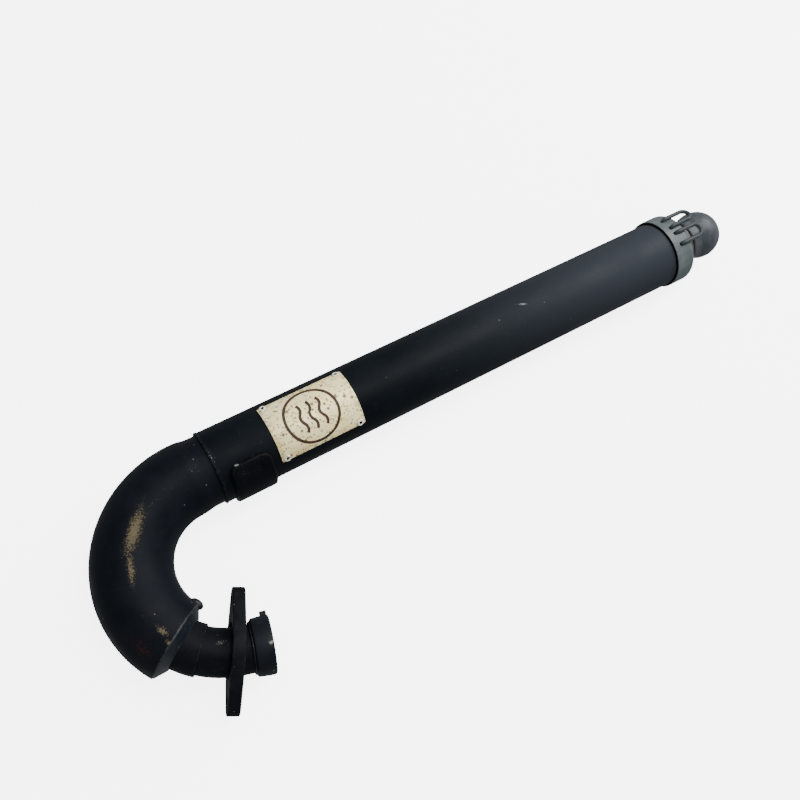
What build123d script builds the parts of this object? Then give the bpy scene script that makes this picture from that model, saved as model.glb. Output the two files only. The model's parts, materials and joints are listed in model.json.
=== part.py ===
from build123d import *
from math import cos, degrees, hypot, radians, sin, sqrt
import os

# Heat-shielded exhaust head pipe, lying flat: the straight run is along +X,
# the bend turns towards -Y, and +Z is up. Angles along the bend are the
# degrees turned since the straight run, angles round the straight run are
# counted from +Z towards -Y. Everything is in millimetres.

# Overall sizes
bend_radius = 73.0            # centreline radius of the bend
bend_angle = 163.0            # degrees turned between the straight run and the stub
stub_length = 24.6            # straight pipe after the bend
pipe_length = 552.0           # straight run, from the bend to the end of the core pipe

# Inner pipe
pipe_diameter = 38.1
pipe_wall = 1.5
core_start = 12.0             # where the core pipe is butted to the head bend

# Outer shield
shield_diameter = 63.5
shield_wall = 1.5
mouth_angle = 122.0           # the elbow shield ends here
neck_depth = 1.5              # how far the elbow's neck is drawn in, for the tube to slide on
neck_taper_start = 2.0
neck_taper_end = 14.0
neck_insert = 12.0            # length of neck inside the tube
tube_start = 21.5
tube_in_cap = 5.0             # how far the tube reaches into the cap
lip_height = 0.7              # rolled lip at the tube's open end
lip_length = 2.4
lip_edge = 0.3
seam_bead_radius = 1.1
seam_end_radius = 3.4
seam_end_span = 10.0          # degrees of shell that the blob is cut to

# Closing pieces at the elbow's mouth
sleeve_wall = 1.6
sleeve_start_angle = 121.0
sleeve_end_angle = 138.5
end_ring_wall = 1.5
end_ring_rim = 1.0            # thickness of the ring's rim outside the shell
end_ring_length = 7.0         # from the mouth to the cone's small end
end_ring_skirt = 6.0          # skirt inside the shell
end_ring_lap = 1.0            # drawn into the sleeve, then cut to it

# Inlet collar and loose flange
collar_length = 15.4
collar_height = 4.35          # over the pipe, at the open end
collar_toe_height = 3.65      # over the pipe, at the weld
collar_land = 10.4            # full height this far, then it tapers
collar_edge = 1.2
tab_length = 5.4
tab_width = 5.0
tab_height = 7.0              # before it is let into the collar
tab_rise = 3.0                # over the collar
tab_setback = 1.0
tab_corner = 1.0
flange_thickness = 10.3
flange_hub_web = 6.85         # metal round the pipe's hole
flange_ear_web = 6.5          # metal round each bolt hole
bolt_spacing = 76.0
bolt_hole_diameter = 9.0
flange_hole_clearance = 3.1   # radial: it hangs loose and can tilt
flange_shift = 1.0            # how far it hangs off the pipe's axis, towards the bend's centre
flange_edge = 0.8
flange_angle = 159.5          # place along the bend
flange_yaw = 8.5              # degrees it hangs crooked, seen from above
flange_lean = 5.0             # degrees its top leans towards the collar

# Saddle pad on the shield tube
pad_setback = 9.0             # from the tube's open end
pad_length = 36.5
pad_low_angle = 24.0
pad_high_angle = 126.0
pad_height = 4.2
pad_wall = 1.5
pad_corner = 8.0
pad_edge = 2.5

# Warning plate and its rivets
plate_gap = 7.2               # between the pad and the plate
plate_length = 78.6
plate_middle_angle = 6.5
plate_half_angle = 49.5
plate_thickness = 0.8
plate_corner = 1.5
rivet_inset_x = 4.8
rivet_inset_angle = 5.0
rivet_shank_radius = 1.5
rivet_head_radius = 2.7
rivet_head_height = 1.1
rivet_bore_radius = 0.9
rivet_bore_flare = 0.3
rivet_dome_step = 0.5
rivet_tail_radius = 2.2
rivet_tail_height = 0.9
rivet_tail_gap = 0.1

# End cap, spring hooks and outlet ball
cap_setback = 25.0            # bare pipe past the cap
cap_length = 22.6
cap_wall = 1.0
cap_gap = 1.25                # open ring between the tube and the cap's skirt
cap_shoulder = 6.0
wire_radius = 2.0
hook_leg_spacing = 12.0
hook_hole_inset = 9.6         # from the cap's open edge
hook_bend = 2.6
hook_overhang = 15.0          # how far each loop reaches past the cap
hook_angles = {"spring_hook_upper": -25.5, "spring_hook_lower": 6.5}
hook_hole_slack = 1.3         # the leg holes are this much longer, away from the loop
hook_hole_ease = 0.6          # and this much towards it, for the leg's knee
hook_leg_depth = 3.0          # legs reach this far inside the cap's skin
hook_hole_depth = 10.0
ball_height = 4.25            # over the pipe
ball_center_offset = 7.2      # past the pipe's end
ball_wall = 2.0
ball_neck_length = 12.0
ball_neck_wall = 1.6
ball_shelf = 2.0              # solid metal inside, before the pipe's end
mouth_clearance = 0.05        # the ball's mouth clears the pipe's bore

# Inner supports and weld beads
spacer_wall = 1.5
spacer_lip = 7.0
front_spacer_gap = 12.5       # past the elbow's neck
rear_spacer_inset = 15.4      # from the tube's end
elbow_spacer_angle = 60.0
elbow_spacer_turn = 3.0
weld_leg = 2.0

# Worked out from the sizes above
pipe_r = pipe_diameter / 2
bore_r = pipe_r - pipe_wall
shield_r = shield_diameter / 2
shield_inner_r = shield_r - shield_wall
neck_r = shield_r - neck_depth
neck_end = tube_start + neck_insert
cap_end = pipe_length - cap_setback
cap_start = cap_end - cap_length
tube_end = cap_start + tube_in_cap
cap_inner_r = shield_r + cap_gap
cap_r = cap_inner_r + cap_wall
sleeve_r = pipe_r + sleeve_wall
collar_big_radius = pipe_r + collar_height
collar_small_radius = pipe_r + collar_toe_height
tab_top = collar_big_radius + tab_rise
flange_hole_radius = pipe_r + flange_hole_clearance
flange_hub_radius = flange_hole_radius + flange_hub_web
flange_ear_radius = bolt_hole_diameter / 2 + flange_ear_web
pad_start = tube_start + pad_setback
plate_start = pad_start + pad_length + plate_gap
hook_hole_x = cap_start + hook_hole_inset
hook_reach = cap_end + hook_overhang
ball_radius = pipe_r + ball_height
ball_center_x = pipe_length + ball_center_offset
ball_neck_start = pipe_length - ball_neck_length
ball_neck_r = pipe_r + ball_neck_wall
opening_r = bore_r + mouth_clearance
ball_mouth = sqrt(ball_radius**2 - opening_r**2)    # from the ball's middle to its lip
front_spacer_x = neck_end + front_spacer_gap
rear_spacer_x = tube_end - rear_spacer_inset
bend_axis = Axis((0, -bend_radius, 0), (0, 0, 1))


def heading(angle):
    """Direction of travel along the bend, away from the straight run."""
    return Vector(-cos(radians(angle)), -sin(radians(angle)), 0)


def towards_center(angle):
    """Direction from the centreline to the bend's centre."""
    return Vector(sin(radians(angle)), -cos(radians(angle)), 0)


def bend_point(angle):
    return Vector(0, -bend_radius, 0) - towards_center(angle) * bend_radius


def bend_plane(angle):
    return Plane(origin=bend_point(angle), x_dir=towards_center(angle), z_dir=heading(angle))


def run_plane(x):
    """Section plane of the straight run, its z along +X."""
    return Plane(origin=(x, 0, 0), x_dir=(0, 0, 1), z_dir=(1, 0, 0))


def tangent_plane(x, angle, radius):
    """Plane lying on a cylinder round the straight run: x along the run, z outwards."""
    outwards = Vector(0, -sin(radians(angle)), cos(radians(angle)))
    return Plane(origin=Vector(x, 0, 0) + outwards * radius, x_dir=(1, 0, 0), z_dir=outwards)


def bent_rod(radius, low, high):
    """Solid round bar along the bend between two angles."""
    return revolve(bend_plane(low) * Circle(radius), axis=bend_axis, revolution_arc=high - low)


def bent_tube(radius, inner_radius, low, high):
    return revolve(
        bend_plane(low) * (Circle(radius) - Circle(inner_radius)),
        axis=bend_axis,
        revolution_arc=high - low,
    )


def rod(plane, radius, length):
    return extrude(plane * Circle(radius), amount=length)


def tube(plane, radius, inner_radius, length):
    return extrude(plane * (Circle(radius) - Circle(inner_radius)), amount=length)


def turned(plane, profile):
    """Turned piece on the plane's z axis, from (axial, radius) points."""
    outline = Polyline([(radius, 0, axial) for axial, radius in profile], close=True)
    return plane.location * revolve(make_face(outline), axis=Axis.Z)


def sector(inner_radius, outer_radius, low, high, start, length):
    """Curved plate round the straight run between two angles."""
    section = Plane(origin=(start, 0, 0), x_dir=(0, -1, 0), z_dir=(-1, 0, 0))

    def point(radius, angle):
        return (radius * sin(radians(angle)), radius * cos(radians(angle)))

    middle = (low + high) / 2
    outer = ThreePointArc(*[point(outer_radius, a) for a in (low, middle, high)])
    inner = ThreePointArc(*[point(inner_radius, a) for a in (high, middle, low)])
    sides = [Line(outer @ 1, inner @ 0), Line(inner @ 1, outer @ 0)]
    return extrude(section * make_face([outer, sides[0], inner, sides[1]]), amount=-length)


def rounded_sector(inner_radius, outer_radius, low, high, start, length, corner):
    plate = sector(inner_radius, outer_radius, low, high, start, length)
    thickness = outer_radius - inner_radius
    posts = [e for e in plate.edges().filter_by(GeomType.LINE) if abs(e.length - thickness) < 1e-3]
    return fillet(posts, corner)


def make_head_bend():
    outer = bent_rod(pipe_r, 0, bend_angle)
    inner = bent_rod(bore_r, 0, bend_angle)
    for radius in (pipe_r, bore_r):
        stub = rod(bend_plane(bend_angle), radius, stub_length)
        joint = rod(run_plane(0), radius, core_start)
        if radius == pipe_r:
            outer = outer + stub + joint
        else:
            inner = inner + stub + joint
    return outer - inner


def make_core_pipe():
    return tube(run_plane(core_start), pipe_r, bore_r, pipe_length - core_start)


def shield_elbow_solid(inset):
    """The elbow shield's outside, or its inside when inset is the wall."""
    elbow = bent_rod(shield_r - inset, 0, mouth_angle)
    big, small = shield_r - inset, neck_r - inset
    middle = (big + small) / 2
    taper = Spline(
        (big, 0, neck_taper_start),
        (middle, 0, (neck_taper_start + neck_taper_end) / 2),
        (small, 0, neck_taper_end),
        tangents=[(0, 0, 1), (0, 0, 1)],
    )
    outline = [
        Polyline((0, 0, 0), (big, 0, 0), taper @ 0),
        taper,
        Polyline(taper @ 1, (small, 0, neck_end), (0, 0, neck_end), (0, 0, 0)),
    ]
    return elbow + run_plane(0).location * revolve(make_face(outline), axis=Axis.Z)


def make_elbow_shells():
    shell = shield_elbow_solid(0) - shield_elbow_solid(shield_wall)
    size = 4 * (bend_radius + shield_r)
    above = extrude(Plane.XY * Rectangle(size, size), amount=2 * shield_r)
    below = extrude(Plane.XY * Rectangle(size, size), amount=-2 * shield_r)
    return shell & above, shell & below


def make_seam_weld(side):
    """Bead where the halves meet: side is 1 inside the bend, -1 outside it."""
    section = Pos(side * shield_r, 0) * Circle(seam_bead_radius) - Circle(shield_r)
    return revolve(bend_plane(0) * section, axis=bend_axis, revolution_arc=mouth_angle)


def make_seam_end():
    """Blob of weld where the inner bead ends at the mouth."""
    tip = bend_point(mouth_angle) + towards_center(mouth_angle) * shield_r
    blob = Location(tip - heading(mouth_angle) * seam_end_radius) * Sphere(seam_end_radius)
    return blob - bent_rod(shield_r, mouth_angle - seam_end_span, mouth_angle)


def make_neck_sleeve():
    return bent_tube(sleeve_r, pipe_r, sleeve_start_angle, sleeve_end_angle)


def make_end_ring():
    """Coned ring: a skirt inside the shell, a thin rim over its edge, a cone down to the sleeve."""
    wall = end_ring_wall
    profile = [
        (-end_ring_skirt, shield_inner_r),
        (0, shield_inner_r),
        (0, shield_r),
        (end_ring_rim, shield_r),
        (end_ring_length, sleeve_r + wall),
        (end_ring_length, sleeve_r - end_ring_lap),
        (end_ring_length - 2 * wall, sleeve_r - end_ring_lap),
        (-wall / 2, shield_inner_r - wall),
        (-end_ring_skirt, shield_inner_r - wall),
    ]
    ring = turned(bend_plane(mouth_angle), profile)
    return ring - bent_rod(sleeve_r, sleeve_start_angle, bend_angle)


def stub_plane(setback):
    """Section plane of the stub, a distance back from its open end."""
    end = bend_point(bend_angle) + heading(bend_angle) * (stub_length - setback)
    return Plane(origin=end, x_dir=towards_center(bend_angle), z_dir=heading(bend_angle))


def make_inlet_collar():
    edge = collar_edge
    profile = [
        (0, pipe_r),
        (0, collar_big_radius - edge),
        (edge, collar_big_radius),
        (collar_land, collar_big_radius),
        (collar_length - edge, collar_small_radius),
        (collar_length, collar_small_radius - edge),
        (collar_length, pipe_r),
    ]
    return turned(stub_plane(collar_length), profile)


def make_collar_tab(collar):
    block = Box(tab_height, tab_width, tab_length)
    block = fillet(block.edges().filter_by(Axis.X), tab_corner)
    place = Location((tab_top - tab_height / 2, 0, tab_length / 2))
    return stub_plane(tab_setback + tab_length).location * place * block - collar


def flange_plane():
    angle = flange_angle - flange_yaw
    lean = radians(flange_lean)
    normal = heading(angle) * cos(lean) - Vector(0, 0, 1) * sin(lean)
    middle = bend_point(flange_angle) + towards_center(angle) * flange_shift
    return Plane(origin=middle, x_dir=towards_center(angle), z_dir=normal)


def make_head_flange():
    ears = Locations((bolt_spacing / 2, 0), (-bolt_spacing / 2, 0))
    circles = Circle(flange_hub_radius) + [place * Circle(flange_ear_radius) for place in ears]
    outline = make_hull(circles.edges())
    blank = extrude(outline, amount=flange_thickness / 2, both=True)
    blank = chamfer(blank.faces().filter_by(Axis.Z).edges(), flange_edge)
    blank = blank - Cylinder(flange_hole_radius, 2 * flange_thickness)
    for place in ears:
        blank = blank - place * Cylinder(bolt_hole_diameter / 2, 2 * flange_thickness)
    return flange_plane().location * blank


def make_shield_tube():
    length = tube_end - tube_start
    lip_r = shield_r + lip_height
    profile = [
        (0, shield_inner_r),
        (0, lip_r - lip_edge),
        (lip_edge, lip_r),
        (lip_length / 2, lip_r),
        (lip_length, shield_r),
        (length, shield_r),
        (length, shield_inner_r),
    ]
    return turned(run_plane(tube_start), profile) - rivet_holes()


def lies_at(edge, radius):
    """Whether an edge lies at a radius from the straight run's axis."""
    return all(abs(hypot(point.Y, point.Z) - radius) < 1e-3 for point in (edge @ 0, edge @ 0.5, edge @ 1))


def make_saddle_pad():
    outer_r = shield_r + pad_height
    pad = rounded_sector(
        shield_r, outer_r, pad_low_angle, pad_high_angle, pad_start, pad_length, pad_corner
    )
    pad = fillet([edge for edge in pad.edges() if lies_at(edge, outer_r)], pad_edge)
    wall_angle = degrees(pad_wall / shield_r)
    hollow = rounded_sector(
        shield_inner_r,
        outer_r - pad_wall,
        pad_low_angle + wall_angle,
        pad_high_angle - wall_angle,
        pad_start + pad_wall,
        pad_length - 2 * pad_wall,
        pad_corner - pad_wall,
    )
    return pad - hollow


def rivet_places():
    places = []
    for x in (plate_start + rivet_inset_x, plate_start + plate_length - rivet_inset_x):
        for side in (-1, 1):
            angle = plate_middle_angle + side * (plate_half_angle - rivet_inset_angle)
            places.append(tangent_plane(x, angle, shield_r + plate_thickness))
    return places


def rivet_holes():
    hole = Cylinder(rivet_shank_radius, 4 * (plate_thickness + shield_wall))
    return [place.location * hole for place in rivet_places()]


def make_warning_plate():
    plate = rounded_sector(
        shield_r,
        shield_r + plate_thickness,
        plate_middle_angle - plate_half_angle,
        plate_middle_angle + plate_half_angle,
        plate_start,
        plate_length,
        plate_corner,
    )
    return plate - rivet_holes()


def make_plate_rivets():
    grip = plate_thickness + shield_wall + rivet_tail_gap
    head, top = rivet_head_radius, rivet_head_height
    profile = [
        (-grip - rivet_tail_height, rivet_bore_radius),
        (-grip - rivet_tail_height, rivet_tail_radius),
        (-grip, rivet_tail_radius),
        (-grip, rivet_shank_radius),
        (0, rivet_shank_radius),
        (0, head),
        (top - 1.1 * rivet_dome_step, head),
        (top - 0.22 * rivet_dome_step, head - rivet_dome_step),
        (top, head - 2 * rivet_dome_step),
        (top, rivet_bore_radius + rivet_bore_flare),
        (top - rivet_bore_flare, rivet_bore_radius),
    ]
    return Compound(children=[turned(place, profile) for place in rivet_places()])


def hook_path_plane(angle):
    """Plane of a loop: x along the run, y between the legs, z outwards."""
    height = sqrt((cap_r + wire_radius) ** 2 - (hook_leg_spacing / 2) ** 2)
    return tangent_plane(0, angle, height)


def make_spring_hook(angle):
    half = hook_leg_spacing / 2
    turn_x = hook_reach - wire_radius - half
    foot = -(wire_radius + cap_wall + hook_leg_depth)
    x = hook_hole_x
    down = Line((x, -half, foot), (x, -half, -hook_bend))
    knee = ThreePointArc(
        (x, -half, -hook_bend),
        (x + hook_bend * (1 - cos(radians(45))), -half, -hook_bend * (1 - sin(radians(45)))),
        (x + hook_bend, -half, 0),
    )
    out = Line((x + hook_bend, -half, 0), (turn_x, -half, 0))
    loop = ThreePointArc((turn_x, -half, 0), (turn_x + half, 0, 0), (turn_x, half, 0))
    back = Line((turn_x, half, 0), (x + hook_bend, half, 0))
    second_knee = ThreePointArc(
        (x + hook_bend, half, 0),
        (x + hook_bend * (1 - cos(radians(45))), half, -hook_bend * (1 - sin(radians(45)))),
        (x, half, -hook_bend),
    )
    up = Line((x, half, -hook_bend), (x, half, foot))
    path = Wire([down, knee, out, loop, back, second_knee, up])
    start = Plane(origin=(x, -half, foot), x_dir=(1, 0, 0), z_dir=(0, 0, 1))
    return hook_path_plane(angle).location * sweep(start * Circle(wire_radius), path=path)


def hook_holes():
    """Short slots in the cap's skirt: each leg stands near the end by its loop."""
    cuts = []
    for angle in hook_angles.values():
        for side in (-1, 1):
            for shift in (-hook_hole_slack, 0, hook_hole_ease):
                middle = (hook_hole_x + shift, side * hook_leg_spacing / 2, -hook_hole_depth / 2)
                hole = Location(middle) * Cylinder(wire_radius, hook_hole_depth)
                cuts.append(hook_path_plane(angle).location * hole)
    return cuts


def make_end_cap():
    blank = rod(run_plane(cap_start), cap_r, cap_length)
    blank = fillet(blank.faces().sort_by(Axis.X)[-1].edges(), cap_shoulder)
    hollow = rod(run_plane(cap_start - cap_wall), cap_inner_r, cap_length)
    hollow = fillet(hollow.faces().sort_by(Axis.X)[-1].edges(), cap_shoulder - cap_wall)
    return blank - hollow - rod(run_plane(cap_start), pipe_r, cap_length) - hook_holes()


def make_outlet_ball():
    center = run_plane(ball_center_x)
    outside = center.location * Sphere(ball_radius)
    neck_length = ball_center_x - ball_neck_start
    outside = outside + rod(run_plane(ball_neck_start), ball_neck_r, neck_length)
    inside = center.location * Sphere(ball_radius - ball_wall)
    inside = inside - rod(run_plane(ball_neck_start), 2 * ball_radius, ball_neck_length - ball_shelf)
    cut_off = rod(run_plane(ball_center_x + ball_mouth), 2 * ball_radius, ball_radius)
    ball = outside - inside - cut_off
    socket_start = ball_neck_start - ball_radius
    ball = ball - rod(run_plane(socket_start), pipe_r, pipe_length - socket_start)
    return ball - rod(run_plane(ball_neck_start), opening_r, 2 * ball_radius + neck_length)


def make_spacer(x):
    """Pressed ring: an inner lip on the pipe, a web, an outer lip in the shield."""
    profile = [
        (0, pipe_r),
        (spacer_lip, pipe_r),
        (spacer_lip, pipe_r + spacer_wall),
        (spacer_wall, pipe_r + spacer_wall),
        (spacer_wall, shield_inner_r - spacer_wall),
        (spacer_lip, shield_inner_r - spacer_wall),
        (spacer_lip, shield_inner_r),
        (0, shield_inner_r),
    ]
    return turned(run_plane(x), profile)


def make_elbow_spacer():
    end = elbow_spacer_angle + elbow_spacer_turn
    return bent_tube(shield_inner_r, pipe_r, elbow_spacer_angle, end)


def weld_ring(plane, foot_radius, reach):
    """Fillet bead in the corner between a pipe and a face; reach is along the plane's z."""
    profile = [(0, foot_radius), (reach, foot_radius), (0, foot_radius + abs(reach))]
    return turned(plane, profile)


upper_shell, lower_shell = make_elbow_shells()
collar = make_inlet_collar()
hooks = {name: make_spring_hook(angle) for name, angle in hook_angles.items()}
nodes = {
    "head_bend": make_head_bend(),
    "core_pipe": make_core_pipe(),
    "inlet_collar": collar,
    "collar_tab": make_collar_tab(collar),
    "collar_weld": weld_ring(stub_plane(collar_length), pipe_r, -weld_leg),
    "head_flange": make_head_flange(),
    "neck_sleeve": make_neck_sleeve(),
    "elbow_end_ring": make_end_ring(),
    "elbow_shell_upper": upper_shell,
    "elbow_shell_lower": lower_shell,
    "elbow_weld_inner": make_seam_weld(1) + make_seam_end(),
    "elbow_weld_outer": make_seam_weld(-1),
    "elbow_spacer": make_elbow_spacer(),
    "shield_tube": make_shield_tube(),
    "front_spacer": make_spacer(front_spacer_x),
    "rear_spacer": make_spacer(rear_spacer_x),
    "saddle_pad": make_saddle_pad(),
    "warning_plate": make_warning_plate(),
    "plate_rivets": make_plate_rivets(),
    "end_cap": make_end_cap(),
    "cap_weld": weld_ring(run_plane(cap_end), pipe_r, weld_leg),
    "outlet_ball": make_outlet_ball(),
    "ball_weld": weld_ring(run_plane(ball_neck_start), pipe_r, -min(weld_leg, ball_neck_wall)),
    **hooks,
}

# The origin is the middle of the pipe's open inlet end.
inlet = stub_plane(0).origin
os.makedirs("parts", exist_ok=True)
for name, shape in nodes.items():
    export_step(Location(-inlet) * shape, f"parts/{name}.step")


def show(label, point, direction=None):
    text = f"{label}: at {[round(v / 1000, 6) for v in (point - inlet)]}"
    if direction is not None:
        text += f" along {[round(v, 6) for v in direction]}"
    print(text)


flange = flange_plane()
face_mark = 6.0               # from the hole's edge to the point that stands for the face
face_point = flange.origin + flange.z_dir * (flange_thickness / 2)
show("inlet", inlet, heading(bend_angle))
show("flange middle", flange.origin, flange.z_dir)
show("flange face", face_point + flange.x_dir * (flange_hole_radius + face_mark), flange.z_dir)
show("flange spin", bend_point(flange_angle), heading(flange_angle))
show("outlet lip", Vector(ball_center_x + ball_mouth, 0, 0), Vector(1, 0, 0))
show("ball middle", Vector(ball_center_x, 0, 0), Vector(1, 0, 0))
for name, angle in hook_angles.items():
    loop = hook_path_plane(angle)
    show(name, loop.origin + Vector(hook_reach - wire_radius - hook_leg_spacing / 2, 0, 0), loop.z_dir)
show("bend centre", Vector(0, -bend_radius, 0))
show("straight run starts", Vector(0, 0, 0))
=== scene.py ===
# %% [markdown]
# # A heat-shielded exhaust head pipe
# The object is a J of black steel: a thin pipe inside a fat shield, with a
# loose flange at the inlet, a warning plate riveted to the shield, and a ball
# with two wire loops at the outlet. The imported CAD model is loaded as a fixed
# frame, and everything below is placed from it. What CAD already shapes well
# keeps its mesh and gets a finish; what wear or weld has rounded is modelled
# again here and rides on the same body.

# %% Load the frame
import json
import math

import bmesh
import bpy
from mathutils import Matrix, Vector


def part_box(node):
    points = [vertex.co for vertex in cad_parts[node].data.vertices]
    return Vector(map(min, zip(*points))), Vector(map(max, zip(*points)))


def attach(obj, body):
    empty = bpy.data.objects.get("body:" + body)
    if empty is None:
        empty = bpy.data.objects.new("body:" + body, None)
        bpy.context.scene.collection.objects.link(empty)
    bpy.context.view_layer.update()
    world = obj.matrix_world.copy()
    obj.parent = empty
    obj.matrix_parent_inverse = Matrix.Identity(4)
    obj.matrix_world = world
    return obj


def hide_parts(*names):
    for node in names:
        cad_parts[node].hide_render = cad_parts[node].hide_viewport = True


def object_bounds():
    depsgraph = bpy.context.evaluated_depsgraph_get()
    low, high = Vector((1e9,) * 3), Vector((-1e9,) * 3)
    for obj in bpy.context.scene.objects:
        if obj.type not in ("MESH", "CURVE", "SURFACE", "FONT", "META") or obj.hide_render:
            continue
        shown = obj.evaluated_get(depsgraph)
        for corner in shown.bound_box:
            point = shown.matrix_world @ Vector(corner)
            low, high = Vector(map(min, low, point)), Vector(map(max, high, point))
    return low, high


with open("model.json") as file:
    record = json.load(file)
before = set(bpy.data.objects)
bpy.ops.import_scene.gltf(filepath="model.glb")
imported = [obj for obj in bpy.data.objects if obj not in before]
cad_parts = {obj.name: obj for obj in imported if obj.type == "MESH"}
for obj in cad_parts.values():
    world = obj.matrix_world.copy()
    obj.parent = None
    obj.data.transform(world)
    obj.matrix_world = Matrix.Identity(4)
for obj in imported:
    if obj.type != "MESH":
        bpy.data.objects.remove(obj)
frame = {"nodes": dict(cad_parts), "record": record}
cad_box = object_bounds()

print("CAD nodes:", len(frame["nodes"]))

# %% [markdown]
# ## Places worked out from the frame
# The straight run is a cylinder along X, so the middle of the shield tube's box
# gives its axis. The stub and the flange are placed by the record's mounts, which
# say where each stands and which way it looks.

# %% Places
MM = 0.001
BEND_RADIUS = 73 * MM
mounts = {mount["name"]: mount for mount in frame["record"]["mounts"]}
tube_low, tube_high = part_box("shield_tube")
run_axis = Vector((0, (tube_low.y + tube_high.y) / 2, (tube_low.z + tube_high.z) / 2))
along = Vector((1, 0, 0))
shell_low, shell_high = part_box("elbow_shell_upper")
cap_low, cap_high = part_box("end_cap")
shell_r = shell_high.z - run_axis.z
bend_center = Vector((shell_low.x + shell_r + BEND_RADIUS, run_axis.y - BEND_RADIUS, run_axis.z))
bend_r = run_axis.y - bend_center.y
stub_out = Vector(mounts["inlet"]["axis"])
flange_middle = Vector(mounts["flange_bolts"]["pos_m"])
flange_normal = Vector(mounts["flange_bolts"]["axis"])
floor_z = cad_box[0].z


def round_run(x, angle, radius):
    """A point round the straight run, the angle in degrees from the top towards -Y."""
    turn = math.radians(angle)
    return Vector((x, run_axis.y - radius * math.sin(turn), run_axis.z + radius * math.cos(turn)))


def out_from_run(angle):
    """The direction away from the run's axis at that angle."""
    turn = math.radians(angle)
    return Vector((0, -math.sin(turn), math.cos(turn)))


def axes_matrix(origin, x_dir, z_dir):
    """Moves a piece modelled at the origin to a place, its X and Z along two directions."""
    side = Vector(x_dir).normalized()
    out = Vector(z_dir).normalized()
    turned = Matrix((side, out.cross(side), out)).transposed().to_4x4()
    return Matrix.Translation(origin) @ turned


print("run axis y", round(run_axis.y, 4), "bend centre", [round(v, 4) for v in bend_center])

# %% [markdown]
# ## Camera
# The camera looks down steeply from the hook's side and is turned a little about
# its own line of sight, as a hand-held one is. Its place is given from the start
# of the bend, on the run's axis. The matrix's columns are its right, up and
# backward directions.

# %% Camera
CAMERA_FROM_BEND = Vector((-56.5, -177.7, 739.2)) * MM
CAMERA_TURN = math.radians(57.78)
CAMERA_TILT = math.radians(68.04)
CAMERA_ROLL = math.radians(29.68)
CAMERA_LENS = 40.5


def look_axes(turn, tilt, roll):
    """Right, up and forward of a camera turned from +Y towards +X, tilted down and rolled."""
    ground = Vector((math.sin(turn), math.cos(turn), 0))
    side = Vector((math.cos(turn), -math.sin(turn), 0))
    forward = ground * math.cos(tilt) - Vector((0, 0, math.sin(tilt)))
    above = ground * math.sin(tilt) + Vector((0, 0, math.cos(tilt)))
    right = side * math.cos(roll) + above * math.sin(roll)
    up = above * math.cos(roll) - side * math.sin(roll)
    return right, up, forward


def make_camera():
    data = bpy.data.cameras.new("camera")
    data.sensor_width = 36
    data.lens = CAMERA_LENS
    data.clip_start = 0.01
    camera = bpy.data.objects.new("camera", data)
    bpy.context.scene.collection.objects.link(camera)
    right, up, forward = look_axes(CAMERA_TURN, CAMERA_TILT, CAMERA_ROLL)
    turned = Matrix((right, up, -forward)).transposed().to_4x4()
    bend_start = Vector((bend_center.x, run_axis.y, run_axis.z))
    camera.matrix_world = Matrix.Translation(bend_start + CAMERA_FROM_BEND) @ turned
    bpy.context.scene.camera = camera
    return camera


camera = make_camera()
print("camera at", [round(v, 3) for v in camera.location])

# %% [markdown]
# ## Floor and light
# The part lies on a white table near a window. The table glows a little, as a
# light table does, so that it stays white while the paint stays black, and it is
# left out of reflections. Two soft discs light the part: a small one overhead,
# which the plate catches, and a large one past the outlet, which gives the far
# end of the tube its sheen.

# %% Floor and light
FLOOR_SIZE = 60
FLOOR_WHITE = 0.9
FLOOR_GLOW = 5.0
WORLD_LIGHT = 0.5
SKY_TINT = (0.93, 0.97, 1, 1)
FAR_WINDOW_PLACE = Vector((1.75, 0.55, 1.35))
FAR_WINDOW_SIZE = 1.1
FAR_WINDOW_POWER = 45
OVERHEAD_PLACE = Vector((0.46, 0.24, 1.6))
OVERHEAD_TARGET = Vector((0.1, 0.13, 0))
OVERHEAD_SIZE = 0.7
OVERHEAD_POWER = 20


def add_floor():
    bpy.ops.object.select_all(action="DESELECT")
    bpy.ops.mesh.primitive_plane_add(size=FLOOR_SIZE, location=(0.25, 0.1, floor_z))
    floor = bpy.context.object
    floor.name = "floor"
    paint = bpy.data.materials.new("white_table")
    paint.use_nodes = True
    shader = paint.node_tree.nodes["Principled BSDF"]
    shader.inputs["Base Color"].default_value = (FLOOR_WHITE, FLOOR_WHITE, FLOOR_WHITE, 1)
    shader.inputs["Roughness"].default_value = 0.8
    shader.inputs["Emission Color"].default_value = (1, 1, 1, 1)
    shader.inputs["Emission Strength"].default_value = FLOOR_GLOW
    floor.data.materials.append(paint)
    floor.visible_glossy = False
    floor.visible_diffuse = False


def add_disc_light(name, place, target, size, power):
    data = bpy.data.lights.new(name, "AREA")
    data.shape = "DISK"
    data.size = size
    data.energy = power
    light = bpy.data.objects.new(name, data)
    bpy.context.scene.collection.objects.link(light)
    light.location = place
    light.rotation_euler = (target - place).to_track_quat("-Z", "Y").to_euler()


def light_the_room():
    world = bpy.data.worlds.new("studio")
    world.use_nodes = True
    sky = world.node_tree.nodes["Background"]
    sky.inputs["Color"].default_value = SKY_TINT
    sky.inputs["Strength"].default_value = WORLD_LIGHT
    bpy.context.scene.world = world


add_floor()
part_middle = (cad_box[0] + cad_box[1]) / 2
add_disc_light("far_window", FAR_WINDOW_PLACE, part_middle, FAR_WINDOW_SIZE, FAR_WINDOW_POWER)
add_disc_light("overhead", OVERHEAD_PLACE, OVERHEAD_TARGET, OVERHEAD_SIZE, OVERHEAD_POWER)
light_the_room()

# %% [markdown]
# ## Node helpers
# A material here is a small tree of nodes made in code. `add` makes one node
# and fills its sockets, either with a value or with another node's output, so
# that a tree reads from the surface's coordinates towards the shader.

# %% Node helpers


def put(tree, socket, value):
    if isinstance(value, bpy.types.NodeSocket):
        tree.links.new(value, socket)
    else:
        socket.default_value = value


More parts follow.
